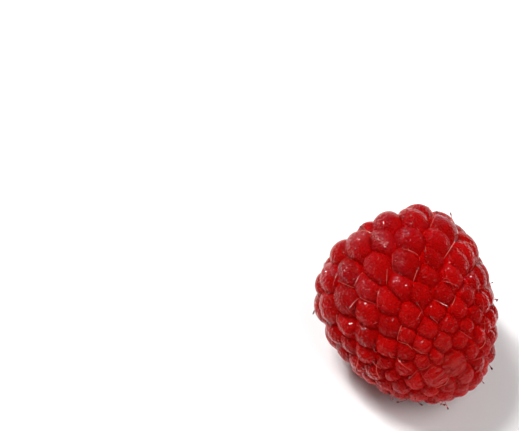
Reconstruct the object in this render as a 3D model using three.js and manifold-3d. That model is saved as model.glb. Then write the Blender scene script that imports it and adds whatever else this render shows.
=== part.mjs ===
// A ripe raspberry lying on its side. Millimetres, +Z up.
//
// The fruit is a thimble: a shell of drupelets round the open hollow that its core left. One closed
// profile, from the tip over the outside, round the rim and up into the hollow, is spun about the axis.
// The drupelets sit on it along a golden-angle spiral. Each one owns the cell of the surface that lies
// nearest to it, and swells out of that cell as a pillow, so that neighbours meet in creases.

import * as THREE from 'three';
import Module from 'manifold-3d';

// ---- Driving dimensions -------------------------------------------------------------------------------

const LENGTH = 24.5; // rim to tip
const DIAMETER = 23.0; // over the drupelets, where the berry is widest
const MOUTH = 9.4; // across the hollow, just inside the rim
const HOLLOW_DEPTH = 15.0; // rim to the bottom of the hollow
const LOBES = 0.035; // the berry is slightly three-sided: its radius waves by this share
const LOBE_TURN = 1.3; // turn of the first of the three round the axis, once the berry lies down

const DRUPELET_AT_TIP = 2.75; // across one drupelet
const DRUPELET_AT_SIDE = 3.85;
const DRUPELET_AT_RIM = 3.6;
const DRUPELET_IN_HOLLOW = 2.8;
const SIDE_STRETCH = 0.25; // how much longer than wide the drupelets are on the sides
const RIM_STRETCH = 0.45; // how much longer still they are where they bend over the rim
const HOLLOW_STRETCH = 0.5; // the same for the ribs on the wall of the hollow
const SIZE_SPREAD = 0.13; // drupelets differ in size by this share
const PLACE_SPREAD = 0.16; // and stray from the spiral by this share of their size
const SETTLING = 5; // rounds in which each then moves to the middle of its cell, which evens them out

const BALL_SHARE = 0.57; // radius of a drupelet's ball over the distance between neighbours
const BALL_POWER = 0.47; // 0.5 swells it as a true ball, and less makes its top flatter
const CREASE_FADE = 0.3; // depth in square millimetres over which the swelling fades out where cells meet
const SWELL = 0.55; // height of a drupelet over that of a true ball
const PILLOW = 0.085; // how far its skin drops besides, from its top to its edge, as a share of its size
const PILLOW_POWER = 3; // the higher this is, the flatter the top stays before it drops
const HOLLOW_RELIEF = 0.34; // height of the ribs in the hollow over that of the drupelets outside

const TWIN_RADIUS = 2.25; // ball radius of the two big drupelets that have grown together near the tip
const TWINS = [
  [4.9, 2.52], // the way of each from the tip, and its turn round the axis, once the berry lies down
  [4.4, 1.8],
];
const FUSION = 0.65; // share of the crease between them that has filled in
const FUSION_REACH = 1.5; // how far from the middle of that crease the filling goes

const LIE_ROLL = 0.3987; // round the berry's own axis, which brings four drupelets down under its weight
const LIE_PITCH = 0.1918; // tip down, until the tapered side lies on the ground
const FLAT = 0.22; // depth of the flats on the drupelets that it lies on

const SKIN = { color: 0xa80c14, roughness: 0.3, metalness: 0.0 };

// ---- Resolution ---------------------------------------------------------------------------------------

const PROFILE_STEPS = 60; // samples between two points of the profile
const RINGS = [0.55, 0.88]; // rings inside a drupelet, as shares of the way to its edge
const LONG_EDGE = 3.0; // an edge between drupelets that is longer than this is split in four, not in two
const GOLDEN_ANGLE = Math.PI * (3 - Math.sqrt(5));
const HEXAGON = 0.866; // area of a hexagon over the square of its width
const POLE_GAP = 0.01; // no seed comes nearer to a pole of the sphere than this angle

// The profile's points as [radius / (DIAMETER / 2), height over the rim / LENGTH], from tip to rim.
const OUTSIDE = [
  [0.0, 1.0],
  [0.29, 0.97],
  [0.52, 0.895],
  [0.71, 0.79],
  [0.865, 0.65],
  [0.96, 0.49],
  [1.0, 0.32],
  [0.955, 0.165],
  [0.84, 0.055],
  [0.67, 0.002],
];
// The same for the hollow as [radius / (MOUTH / 2), height over the rim / HOLLOW_DEPTH], to its bottom.
const INSIDE = [
  [1.22, 0.025],
  [1.0, 0.15],
  [0.93, 0.4],
  [0.82, 0.63],
  [0.63, 0.83],
  [0.34, 0.96],
  [0.0, 1.0],
];

// ---- Small helpers ------------------------------------------------------------------------------------

const lerp = (a, b, t) => a + (b - a) * t;

const smooth = (x, low, high) => {
  const t = Math.min(Math.max((x - low) / (high - low), 0), 1);
  return t * t * (3 - 2 * t);
};

// A repeatable draw between -1 and 1 for drupelet i, one stream for each kind of draw.
const draw = (i, stream) => {
  const wave = Math.sin(i * 12.9898 + stream * 78.233) * 43758.5453;
  return 2 * (wave - Math.floor(wave)) - 1;
};

// ---- The profile --------------------------------------------------------------------------------------

// A uniform Catmull-Rom curve through the points. The points past each pole are mirrored in the axis, so
// that the surface is round there.
function spinProfile() {
  const scaled = [
    ...OUTSIDE.map(([r, h]) => new THREE.Vector2((r * DIAMETER) / 2, h * LENGTH)),
    ...INSIDE.map(([r, h]) => new THREE.Vector2((r * MOUTH) / 2, h * HOLLOW_DEPTH)),
  ];
  const mirrored = (p) => new THREE.Vector2(-p.x, p.y);
  const guide = [mirrored(scaled[1]), ...scaled, mirrored(scaled.at(-2))];
  const points = [];
  for (let k = 1; k < guide.length - 2; k++) {
    for (let n = 0; n < PROFILE_STEPS; n++) {
      points.push(catmullRom(guide[k - 1], guide[k], guide[k + 1], guide[k + 2], n / PROFILE_STEPS));
    }
  }
  points.push(scaled.at(-1).clone());
  return points;
}

function catmullRom(p0, p1, p2, p3, t) {
  const along = (a, b, c, d) =>
    0.5 * (2 * b + (c - a) * t + (2 * a - 5 * b + 4 * c - d) * t * t + (3 * b - a - 3 * c + d) * t ** 3);
  return new THREE.Vector2(along(p0.x, p1.x, p2.x, p3.x), along(p0.y, p1.y, p2.y, p3.y));
}

// ---- The map between the profile and a unit sphere ----------------------------------------------------

// Every point of the surface has a partner on a unit sphere, at the same turn round the axis. The sphere's
// polar angle is chosen so that small circles stay circles, or become ovals where stretch() is over 1, so
// cells that are laid out on the sphere keep their shape on the berry.
class SphereMap {
  constructor(points) {
    this.points = points;
    this.length = [0];
    for (let k = 1; k < points.length; k++) {
      this.length.push(this.length[k - 1] + points[k].distanceTo(points[k - 1]));
    }
    this.rim = this.length[lowest(points)];
    const way = [0, 0];
    for (let k = 2; k < points.length - 1; k++) {
      const step = this.length[k] - this.length[k - 1];
      const middle = (this.length[k] + this.length[k - 1]) / 2 / this.rim;
      way.push(way[k - 1] + (step * meanInverse(points[k - 1].x, points[k].x)) / stretch(middle));
    }
    const zero = way[lowest(points)];
    this.polar = way.map((w) => 2 * Math.atan(Math.exp(w - zero)));
    this.polar[0] = 0;
    this.polar.push(Math.PI);
    this.scale = points.map((p, k) => p.x / Math.sin(this.polar[k]));
    this.scale[0] = this.scale[1];
    this.scale[points.length - 1] = this.scale[points.length - 2];
  }

  // Where a polar angle falls in the table, as a whole step and the share of the next one.
  find(polar) {
    let low = 0;
    let high = this.polar.length - 1;
    while (high - low > 1) {
      const middle = (low + high) >> 1;
      if (this.polar[middle] > polar) high = middle;
      else low = middle;
    }
    return [low, (polar - this.polar[low]) / (this.polar[high] - this.polar[low])];
  }

  // The profile at a polar angle: place, outward normal, way from the tip over that to the rim, and scale.
  at(polar) {
    const [k, t] = this.find(polar);
    const a = this.points[k];
    const b = this.points[k + 1];
    const along = b.clone().sub(a).normalize();
    return {
      place: a.clone().lerp(b, t),
      normal: new THREE.Vector2(-along.y, along.x),
      way: lerp(this.length[k], this.length[k + 1], t) / this.rim,
      scale: lerp(this.scale[k], this.scale[k + 1], t),
    };
  }
}

const lowest = (points) => points.reduce((best, p, k) => (p.y < points[best].y ? k : best), 0);

// The mean of 1 / r where r runs evenly from a to b.
const meanInverse = (a, b) => (Math.abs(b - a) < 1e-9 ? 1 / a : Math.log(b / a) / (b - a));

// The next three take the way along the profile: 0 at the tip, 1 on the rim, more in the hollow.
function stretch(way) {
  const rim = smooth(way, 0.72, 0.98) * (1 - smooth(way, 1.05, 1.25));
  const side = smooth(way, 0.3, 0.6) * (1 - smooth(way, 1.1, 1.3));
  const hollow = smooth(way, 1.1, 1.3) * (1 - smooth(way, 1.5, 1.62));
  return 1 + SIDE_STRETCH * side + RIM_STRETCH * rim + HOLLOW_STRETCH * hollow;
}

function drupeletSize(way) {
  const side = lerp(DRUPELET_AT_TIP, DRUPELET_AT_SIDE, smooth(way, 0.3, 0.85));
  const outside = lerp(side, DRUPELET_AT_RIM, smooth(way, 0.75, 1));
  return lerp(outside, DRUPELET_IN_HOLLOW, smooth(way, 1.02, 1.25));
}

const relief = (way) => lerp(1, HOLLOW_RELIEF, smooth(way, 1.0, 1.2));

// ---- The drupelets ------------------------------------------------------------------------------------

const onSphere = (polar, turn) =>
  new THREE.Vector3(Math.sin(polar) * Math.cos(turn), Math.sin(polar) * Math.sin(turn), Math.cos(polar));

const polarOf = (p) => Math.acos(Math.min(Math.max(p.z, -1), 1));

// The seeds of the drupelets on the unit sphere. They are spaced so that each has the same share of the
// surface, measured in drupelets, and each turns on from the last by the golden angle.
function placeDrupelets(map) {
  const count = [0];
  for (let k = 1; k < map.points.length; k++) {
    const way = (map.length[k] + map.length[k - 1]) / 2 / map.rim;
    const radius = (map.points[k].x + map.points[k - 1].x) / 2;
    const band = 2 * Math.PI * radius * (map.length[k] - map.length[k - 1]);
    count.push(count[k - 1] + band / (HEXAGON * drupeletSize(way) ** 2 * stretch(way)));
  }
  const total = Math.round(count.at(-1));
  const seeds = [];
  for (let i = 0, k = 0; i < total; i++) {
    const wanted = ((i + 0.5) * count.at(-1)) / total;
    while (count[k + 1] < wanted) k++;
    const polar = lerp(map.polar[k], map.polar[k + 1], (wanted - count[k]) / (count[k + 1] - count[k]));
    seeds.push(makeSeed(map, i, polar, i * GOLDEN_ANGLE));
  }
  let settled = growTwins(map, seeds);
  for (let round = 0; round < SETTLING; round++) settled = settle(settled);
  return settled;
}

function makeSeed(map, i, polar, turn) {
  const { way, scale } = map.at(polar);
  const size = drupeletSize(way);
  const stray = (PLACE_SPREAD * size) / scale;
  const strayed = Math.min(Math.max(polar + stray * draw(i, 1), POLE_GAP), Math.PI - POLE_GAP);
  const place = onSphere(strayed, turn + (stray * draw(i, 2)) / Math.sin(strayed));
  return { place, ball: (BALL_SHARE * size * (1 + SIZE_SPREAD * draw(i, 3))) / scale };
}

// The twins take the places of the seeds that they cover, and come last in the list.
function growTwins(map, seeds) {
  const COVER = 0.9;
  const { scale } = map.at(0);
  const ball = TWIN_RADIUS / scale;
  const twins = TWINS.map(([way, turn]) => ({ place: onSphere(way / scale, turn - LIE_ROLL), ball }));
  const clear = (seed) => twins.every((twin) => seed.place.distanceTo(twin.place) > COVER * ball);
  return [...seeds.filter(clear), ...twins];
}

// How far inside seed's ball a point of the sphere is: the ball's radius squared less the distance squared.
const depthIn = (seed, p) => seed.ball ** 2 - 2 + 2 * seed.place.dot(p);

// The points of the sphere that are equally deep in the balls of three seeds.
function equalPoints(a, b, c) {
  const u = a.place.clone().sub(b.place);
  const v = a.place.clone().sub(c.place);
  const e = (b.ball ** 2 - a.ball ** 2) / 2;
  const f = (c.ball ** 2 - a.ball ** 2) / 2;
  const axis = u.clone().cross(v);
  const base = v.clone().cross(axis).multiplyScalar(e).add(axis.clone().cross(u).multiplyScalar(f));
  base.divideScalar(axis.lengthSq());
  const reach = 1 - base.lengthSq();
  if (reach <= 0) return [];
  const step = axis.multiplyScalar(Math.sqrt(reach / axis.lengthSq()));
  return [base.clone().add(step), base.clone().sub(step)];
}

// The corners where three cells meet: no other seed holds them deeper than those three do.
function findCorners(seeds) {
  const NEAR = 22;
  const corners = [];
  seeds.forEach((seed, i) => {
    const near = seeds
      .map((other, j) => ({ j, gap: other.place.distanceTo(seed.place) }))
      .sort((p, q) => p.gap - q.gap)
      .slice(1, NEAR)
      .map(({ j }) => j);
    for (const j of near.filter((n) => n > i)) {
      for (const k of near.filter((n) => n > j)) {
        for (const point of equalPoints(seed, seeds[j], seeds[k])) {
          const depth = depthIn(seed, point);
          const nearest = near.every((m) => m === j || m === k || depthIn(seeds[m], point) < depth);
          if (nearest && point.dot(seed.place) > 0) corners.push({ point, cells: [i, j, k] });
        }
      }
    }
  });
  return corners;
}

// Moves each seed to the middle of its cell.
function settle(seeds) {
  const corners = findCorners(seeds);
  return seeds.map((seed, i) => {
    const loop = cornersAround(seed, i, corners).map((id) => corners[id].point);
    const middle = new THREE.Vector3();
    loop.forEach((a, n) => {
      const b = loop[(n + 1) % loop.length];
      const area = a.clone().sub(seed.place).cross(b.clone().sub(seed.place)).length();
      middle.addScaledVector(a.clone().add(b).add(seed.place), area);
    });
    return { ...seed, place: middle.normalize() };
  });
}

// ---- The skin -----------------------------------------------------------------------------------------

// Height of the skin over the creases, from how deep in its ball a point is, in square millimetres. Below
// zero it fades out, so that three cells can meet further out than their balls reach.
const bulge = (depth) => SWELL * ((depth + Math.hypot(depth, CREASE_FADE)) / 2) ** BALL_POWER;

// The point of the berry's skin that belongs to a point of the sphere, a share of the way from a seed to
// the edge of its cell. The profile is the skin over the drupelets' tops, and the skin sinks below it
// towards the creases, except round the join, where the twins have grown together.
function skinPoint(map, join, seed, p, share) {
  const { place, normal, way, scale } = map.at(polarOf(p));
  const size = drupeletSize(way);
  const fused = FUSION * Math.exp(-(((p.distanceTo(join) * scale) / FUSION_REACH) ** 2));
  const depth = bulge((BALL_SHARE * size) ** 2) - bulge(depthIn(seed, p) * scale ** 2);
  const sunk = relief(way) * (1 - fused) * (depth + PILLOW * size * share ** PILLOW_POWER);
  const radius = place.x - normal.x * sunk;
  const flat = Math.hypot(p.x, p.y) || 1;
  const lobe = 1 + LOBES * Math.cos(3 * (Math.atan2(p.y, p.x) + LIE_ROLL - LOBE_TURN));
  const spun = new THREE.Vector3((p.x / flat) * radius, (p.y / flat) * radius, 0).multiplyScalar(lobe);
  return spun.setZ(place.y - normal.y * sunk);
}

// One closed mesh: a fan of rings for every cell. Neighbours share the points on the edge between them.
function meshSkin(map, seeds, corners) {
  const vertices = [];
  const triangles = [];
  const join = seeds.at(-1).place.clone().add(seeds.at(-2).place).normalize();
  const addPoint = (seed, point, share) => {
    const id = vertices.push(skinPoint(map, join, seed, point, share)) - 1;
    return { point, id };
  };
  const ends = corners.map(({ point, cells }) => addPoint(seeds[cells[0]], point, 1));
  const edges = new Map();
  const edgeBetween = (seed, a, b) => {
    const key = `${Math.min(a, b)} ${Math.max(a, b)}`;
    if (!edges.has(key)) edges.set(key, splitEdge(seed, ends[Math.min(a, b)], ends[Math.max(a, b)]));
    return a < b ? edges.get(key) : edges.get(key).toReversed();
  };
  const splitEdge = (seed, a, b) => {
    const pieces = vertices[a.id].distanceTo(vertices[b.id]) > LONG_EDGE ? 4 : 2;
    const shares = Array.from({ length: pieces - 1 }, (_, n) => (n + 1) / pieces);
    return shares.map((t) => addPoint(seed, a.point.clone().lerp(b.point, t).normalize(), 1));
  };

  seeds.forEach((seed, i) => {
    const loop = cornersAround(seed, i, corners);
    const inside = (t, q) => addPoint(seed, seed.place.clone().lerp(q.point, t).normalize(), t).id;
    const top = addPoint(seed, seed.place, 0).id;
    const inner = loop.map((a) => inside(RINGS[0], ends[a]));
    const sides = loop.map((a, n) => [ends[a], ...edgeBetween(seed, a, loop[(n + 1) % loop.length])]);
    const edge = sides.flat();
    const outer = edge.map((q) => inside(RINGS[1], q));
    let at = 0;
    sides.forEach((side, n) => {
      const next = inner[(n + 1) % inner.length];
      triangles.push([top, inner[n], next], [inner[n], outer[at + side.length / 2], next]);
      for (let step = 0; step < side.length; step++, at++) {
        const from = step < side.length / 2 ? inner[n] : next;
        triangles.push([from, outer[at], outer[(at + 1) % outer.length]]);
      }
    });
    edge.forEach((q, n) => {
      const m = (n + 1) % edge.length;
      triangles.push([outer[n], q.id, edge[m].id], [outer[n], edge[m].id, outer[m]]);
    });
  });
  return { vertices, triangles };
}

// The corners of one cell in order round its seed, counter-clockwise as seen from outside.
function cornersAround(seed, i, corners) {
  const side = new THREE.Vector3(0, 0, 1).cross(seed.place).normalize();
  const up = seed.place.clone().cross(side);
  const bearing = ({ point }) => Math.atan2(point.dot(up), point.dot(side));
  return corners
    .map((corner, id) => ({ id, corner }))
    .filter(({ corner }) => corner.cells.includes(i))
    .sort((a, b) => bearing(a.corner) - bearing(b.corner))
    .map(({ id }) => id);
}

// ---- Lying down ---------------------------------------------------------------------------------------

// Lays the berry on its side with its tip towards -Y. The lowest drupelets reach FLAT below z = 0, and the
// origin is under the middle of its box.
function layDown(vertices) {
  const turn = new THREE.Matrix4()
    .makeRotationX(Math.PI / 2 + LIE_PITCH)
    .multiply(new THREE.Matrix4().makeRotationZ(LIE_ROLL));
  vertices.forEach((v) => v.applyMatrix4(turn));
  const box = new THREE.Box3().setFromPoints(vertices);
  const middle = box.getCenter(new THREE.Vector3());
  vertices.forEach((v) => v.sub(new THREE.Vector3(middle.x, middle.y, box.min.z + FLAT)));
}

const wasm = await Module();
wasm.setup();

function solidFrom(vertices, triangles) {
  return new wasm.Manifold(
    new wasm.Mesh({
      numProp: 3,
      vertProperties: new Float32Array(vertices.flatMap((v) => v.toArray())),
      triVerts: new Uint32Array(triangles.flat()),
    }),
  );
}

function geometryFrom(solid) {
  const mesh = solid.getMesh();
  const geometry = new THREE.BufferGeometry();
  geometry.setAttribute('position', new THREE.BufferAttribute(mesh.vertProperties, 3));
  geometry.setIndex(new THREE.BufferAttribute(mesh.triVerts, 1));
  return geometry;
}

// A closed block that reaches down from z = 0, wider than the berry: what it takes off is the flats.
function ground() {
  const corners = [];
  for (const z of [-DIAMETER, 0]) {
    for (const [x, y] of [[-1, -1], [1, -1], [1, 1], [-1, 1]]) {
      corners.push(new THREE.Vector3(x * LENGTH, y * LENGTH, z));
    }
  }
  const faces = [[0, 2, 1], [0, 3, 2], [4, 5, 6], [4, 6, 7]];
  for (let n = 0; n < 4; n++) {
    const m = (n + 1) % 4;
    faces.push([n, m, m + 4], [n, m + 4, n + 4]);
  }
  return solidFrom(corners, faces);
}

function makeRaspberry() {
  const map = new SphereMap(spinProfile());
  const seeds = placeDrupelets(map);
  const { vertices, triangles } = meshSkin(map, seeds, findCorners(seeds));
  layDown(vertices);
  const geometry = geometryFrom(solidFrom(vertices, triangles).subtract(ground()));
  geometry.computeVertexNormals();
  const mesh = new THREE.Mesh(geometry, new THREE.MeshStandardMaterial(SKIN));
  mesh.name = 'raspberry';
  return mesh;
}

const part = new THREE.Group();
part.add(makeRaspberry());

export default part;
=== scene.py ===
"""A ripe raspberry lying on its side.

The berry is one thimble-shaped shell of drupelets round the open hollow that its core left. Its skin is a
closed profile spun about the axis, on which every drupelet swells out of its own cell. The same rule makes
the solid in the frame, so the fine skin lies where the solid does. Dried styles and down grow on the skin.

Lengths are in millimetres until a mesh is made, and in metres in Blender. The way along the profile is
counted from the tip (0) to the rim (1) and on into the hollow (more than 1).
"""

import logging
import math
from dataclasses import dataclass, field
from enum import Enum

import bpy
import numpy as np
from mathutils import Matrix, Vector

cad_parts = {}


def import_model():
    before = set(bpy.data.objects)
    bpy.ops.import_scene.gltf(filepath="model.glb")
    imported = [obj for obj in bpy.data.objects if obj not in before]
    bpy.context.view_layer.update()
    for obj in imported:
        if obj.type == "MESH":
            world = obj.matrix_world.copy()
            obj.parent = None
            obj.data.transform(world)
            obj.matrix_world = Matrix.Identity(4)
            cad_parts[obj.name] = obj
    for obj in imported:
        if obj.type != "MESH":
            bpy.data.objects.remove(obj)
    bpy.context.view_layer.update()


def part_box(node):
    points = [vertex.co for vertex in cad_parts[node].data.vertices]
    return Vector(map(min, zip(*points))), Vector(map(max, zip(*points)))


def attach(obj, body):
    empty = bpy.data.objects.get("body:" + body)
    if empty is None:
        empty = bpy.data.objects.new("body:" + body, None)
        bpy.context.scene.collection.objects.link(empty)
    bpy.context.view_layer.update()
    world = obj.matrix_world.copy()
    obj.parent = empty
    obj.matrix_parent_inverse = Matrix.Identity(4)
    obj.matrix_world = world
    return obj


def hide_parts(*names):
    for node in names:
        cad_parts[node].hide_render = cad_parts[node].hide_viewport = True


MM = 0.001
NODE = "raspberry"
GOLDEN_ANGLE = math.pi * (3 - math.sqrt(5))
HEXAGON = 0.866  # area of a hexagon over the square of its width
TINY = 1e-9  # what counts as nothing
RIM_WAY = 1.02  # way past which the skin faces the hollow
# Draws are read from a sine wave: what its angle grows by for an index and for a stream, and its height.
INDEX_ANGLE = 12.9898
STREAM_ANGLE = 78.233
WAVE_HEIGHT = 43758.5453

log = logging.getLogger("raspberry")

Array = np.ndarray
Span = tuple[float, float]
Colour = tuple[float, float, float, float]


# ---- Small helpers ---------------------------------------------------------------------------------------


class Stream(Enum):
    """The kinds of draw. Each has a number of its own, and a direction takes the next two as well."""

    SEED_ALONG = 1
    SEED_ROUND = 2
    SEED_SIZE = 3
    DRUPELET_TONE = 7
    DOWN_ALONG = 21
    DOWN_ROUND = 22
    STYLE_STRAY = 31
    STYLE_LENGTH = 34
    STYLE_RISE = 35
    STYLE_TONE = 36
    STYLE_WIDTH = 37
    DOWN_LENGTH = 41
    DOWN_LEAN = 42


def draw(index: Array, stream: Stream, axis: int = 0) -> Array:
    """A repeatable draw between -1 and 1 for each index.

    The fraction of a large sine wave at the index and stream, stretched to run from -1 to 1.

    Args:
        index: whole numbers.
        stream: which kind of draw it is.
        axis: 0, or 1 or 2 for the other two parts of a direction.

    Returns:
        An array as long as index.
    """
    angle = np.asarray(index) * INDEX_ANGLE + (stream.value + axis) * STREAM_ANGLE
    wave = np.sin(angle) * WAVE_HEIGHT
    return 2 * (wave - np.floor(wave)) - 1


def draw_direction(index: Array, stream: Stream) -> Array:
    """Three draws between -1 and 1 for each index, as the parts of a direction."""
    return np.stack([draw(index, stream, axis) for axis in range(3)], axis=-1)


def smooth(x: Array | float, low: Array | float, high: Array | float) -> Array | float:
    """A smooth step: 0 below low, 1 above high, and 3t^2 - 2t^3 between."""
    t = np.clip((np.asarray(x) - low) / (high - low), 0, 1)
    return t * t * (3 - 2 * t)


def lerp(a: Array | float, b: Array | float, t: Array | float) -> Array | float:
    """The value a share t of the way from a to b."""
    return a + (b - a) * t


def unit(v: Array) -> Array:
    """Each vector of the last axis at length 1."""
    return v / np.maximum(np.linalg.norm(v, axis=-1, keepdims=True), TINY)


def spin(radius: Array, height: Array, turn: Array) -> Array:
    """Points at a radius and a height, turned about the axis."""
    return np.stack([radius * np.cos(turn), radius * np.sin(turn), height], axis=-1)


def on_sphere(polar: Array, turn: Array) -> Array:
    """Points of the unit sphere from their angle from the tip and their turn about the axis."""
    return spin(np.sin(polar), np.cos(polar), turn)


def polar_of(p: Array) -> Array:
    """The angle from the tip of points of the unit sphere."""
    return np.arccos(np.clip(p[..., 2], -1, 1))


def turn_of(p: Array) -> Array:
    """The turn about the axis of points of the unit sphere."""
    return np.arctan2(p[..., 1], p[..., 0])


def node_box() -> tuple[Array, Array]:
    """The lowest and highest corners of the frame's berry, in millimetres."""
    low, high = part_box(NODE)
    return np.array(low) / MM, np.array(high) / MM


def make_mesh(name: str, points: Array, faces: list[Array], material: bpy.types.Material) -> bpy.types.Object:
    """A smooth-shaded object from arrays of points and faces.

    Args:
        name: name of the object and its mesh.
        points: (n, 3) places in millimetres.
        faces: arrays of shape (m, 3) or (m, 4) with the corners of each face.
        material: the finish of the whole piece.

    Returns:
        The object, at the origin, linked to the scene.
    """
    mesh = bpy.data.meshes.new(name)
    sizes = np.concatenate([np.full(len(f), f.shape[1]) for f in faces])
    mesh.vertices.add(len(points))
    mesh.vertices.foreach_set("co", (points * MM).astype(np.float32).ravel())
    mesh.loops.add(int(sizes.sum()))
    mesh.loops.foreach_set("vertex_index", np.concatenate([f.ravel() for f in faces]).astype(np.int32))
    mesh.polygons.add(len(sizes))
    mesh.polygons.foreach_set("loop_start", np.concatenate([[0], np.cumsum(sizes)[:-1]]).astype(np.int32))
    mesh.polygons.foreach_set("use_smooth", np.ones(len(sizes), dtype=bool))
    mesh.update(calc_edges=True)
    mesh.validate()
    mesh.materials.append(material)
    piece = bpy.data.objects.new(name, mesh)
    bpy.context.scene.collection.objects.link(piece)
    return piece


def paint(piece: bpy.types.Object, name: str, values: Array) -> None:
    """Stores one number for each vertex, which the finishes read by its name."""
    layer = piece.data.attributes.new(name, "FLOAT", "POINT")
    layer.data.foreach_set("value", np.asarray(values, dtype=np.float32))


# ---- The form of the berry -------------------------------------------------------------------------------


@dataclass
class Outline:
    """The closed profile that is spun about the berry's axis, from the tip round the rim into the hollow."""

    length: float = 24.5
    diameter: float = 23.0
    mouth: float = 9.4
    hollow_depth: float = 15.0
    steps: int = 60  # between two guide points
    # The section is a little three-sided: number of lobes, their height over the radius, and their turn.
    lobes: int = 3
    lobe_height: float = 0.035
    lobe_turn: float = 1.3
    # Radius over half the diameter, and height over the rim as a share of the length.
    outside: tuple[Span, ...] = (
        (0.0, 1.0), (0.29, 0.97), (0.52, 0.895), (0.71, 0.79), (0.865, 0.65),
        (0.96, 0.49), (1.0, 0.32), (0.955, 0.165), (0.84, 0.055), (0.67, 0.002),
    )
    # Radius over half the mouth, and height over the rim as a share of the hollow's depth.
    inside: tuple[Span, ...] = (
        (1.22, 0.025), (1.0, 0.15), (0.93, 0.4), (0.82, 0.63), (0.63, 0.83), (0.34, 0.96), (0.0, 1.0),
    )

    def points(self) -> Array:
        """The profile as a uniform Catmull-Rom curve.

        Each span is the cubic through its two middle points whose slopes there are half the step between
        their neighbours. Past each pole the points are mirrored in the axis, so that the surface is round
        there.

        Returns:
            (n, 2) radius and height.
        """
        outside = np.array(self.outside) * (self.diameter / 2, self.length)
        inside = np.array(self.inside) * (self.mouth / 2, self.hollow_depth)
        guide = np.concatenate([outside, inside])
        guide = np.concatenate([guide[1:2] * (-1, 1), guide, guide[-2:-1] * (-1, 1)])
        t = (np.arange(self.steps) / self.steps)[None, :, None]
        a, b, c, d = (guide[k : len(guide) - 3 + k, None, :] for k in range(4))
        curve = 0.5 * (
            2 * b + (c - a) * t + (2 * a - 5 * b + 4 * c - d) * t**2 + (3 * b - a - 3 * c + d) * t**3
        )
        return np.concatenate([curve.reshape(-1, 2), guide[-2:-1]])

    def lobe(self, turn: Array) -> Array:
        """The section's radius at turns round the axis, over that of a round one: a cosine wave of lobes."""
        return 1 + self.lobe_height * np.cos(self.lobes * (turn - self.lobe_turn))


@dataclass(frozen=True)
class Band:
    """An amount that comes in and goes again along the way."""

    amount: float
    comes: Span
    goes: Span

    def at(self, way: Array) -> Array:
        """The amount times a smooth step up and a smooth step down."""
        return self.amount * (smooth(way, *self.comes) * (1 - smooth(way, *self.goes)))


@dataclass
class Drupelets:
    """How large the drupelets are, and how they swell, along the way."""

    at_tip: float = 2.75
    at_side: float = 3.85
    at_rim: float = 3.6
    in_hollow: float = 2.8
    # The spans of the way in which one width goes over to the next.
    tip_to_side: Span = (0.3, 0.85)
    side_to_rim: Span = (0.75, 1.0)
    rim_to_hollow: Span = (1.02, 1.25)
    # By how much they are longer than wide: on the side, over the rim, and on the hollow's wall.
    stretches: tuple[Band, ...] = (
        Band(0.25, comes=(0.3, 0.6), goes=(1.1, 1.3)),
        Band(0.45, comes=(0.72, 0.98), goes=(1.05, 1.25)),
        Band(0.5, comes=(1.1, 1.3), goes=(1.5, 1.62)),
    )
    size_spread: float = 0.13
    place_spread: float = 0.16
    settling: int = 5  # rounds in which they settle against each other
    ball_share: float = 0.57  # radius of a drupelet's ball over its width
    swell: float = 0.7
    swell_power: float = 0.47
    crease_softness: float = 0.3
    pillow: float = 0.085  # extra drop at a cell's edge, over the width
    pillow_power: int = 3
    hollow_relief: float = 0.34  # height of the hollow's ribs over that of the drupelets
    relief_fall: Span = (1.0, 1.2)
    # The two big drupelets that have grown together: millimetres from the tip, and turn round it.
    twins: tuple[Span, ...] = ((4.9, 2.52), (4.4, 1.8))
    twin_radius: float = 2.25
    twin_room: float = 0.9  # share of that radius in which no other seed stays
    fusion: float = 0.65  # share of the relief that is gone at their join
    fusion_reach: float = 1.5  # how far that reaches

    def size(self, way: Array) -> Array:
        """Width of a drupelet: it grows from the tip to the side, and shrinks again over the rim.

        Args:
            way: places along the profile.

        Returns:
            The width at each.
        """
        side = lerp(self.at_tip, self.at_side, smooth(way, *self.tip_to_side))
        outside = lerp(side, self.at_rim, smooth(way, *self.side_to_rim))
        return lerp(outside, self.in_hollow, smooth(way, *self.rim_to_hollow))

    def stretch(self, way: Array) -> Array:
        """Length of a drupelet over its width: 1 and what each band of stretch adds."""
        return sum((band.at(way) for band in self.stretches), start=1)

    def relief(self, way: Array) -> Array:
        """Height of the relief over that of the outside: it falls off into the hollow."""
        return lerp(1, self.hollow_relief, smooth(way, *self.relief_fall))

    def bulge(self, depth: Array) -> Array:
        """Height over the deepest creases: a power of the depth in the ball, which fades out below zero."""
        return self.swell * ((depth + np.hypot(depth, self.crease_softness)) / 2) ** self.swell_power


@dataclass(frozen=True)
class Spot:
    """The profile at some polar angles."""

    place: Array  # radius and height
    normal: Array  # outward, as radius and height
    way: Array
    scale: Array  # millimetres on the berry for each radian on the sphere


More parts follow.
